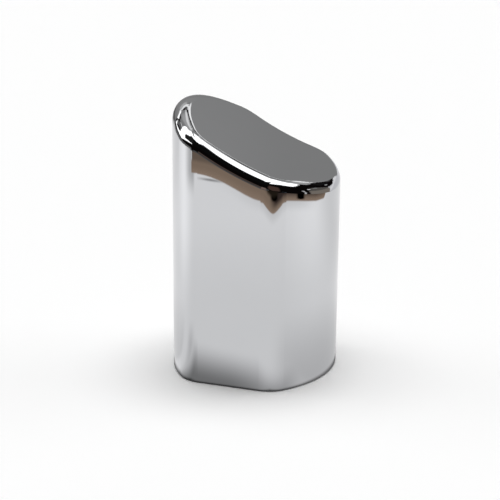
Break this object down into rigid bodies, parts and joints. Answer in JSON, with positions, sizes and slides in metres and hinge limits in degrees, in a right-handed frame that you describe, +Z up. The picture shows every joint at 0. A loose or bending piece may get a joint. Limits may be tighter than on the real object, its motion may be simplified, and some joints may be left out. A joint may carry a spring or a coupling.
{
  "type": "perfume cap",
  "caption": "Bright chromed hollow cap with a flat front, bulging sides and a slanted wave-shaped top, lined with a sleeve that grips a spray pump collar.",
  "frame": {"origin": "centre of the cap's outline, on the plane that its rim stands on", "axes": "+Z up out of the top, -Y out of the flat front face, -X towards the high side of the top"},
  "size_m": [0.03, 0.0304, 0.0494],
  "materials": {
    "chrome_shell": "mirror-polished chrome plating on cast zinc alloy",
    "sleeve_plastic": "plain moulded polypropylene, natural white"
  },
  "bodies": {
    "root": {"outer_shell": "chrome_shell", "inner_sleeve": "sleeve_plastic"}
  },
  "joints": []
}
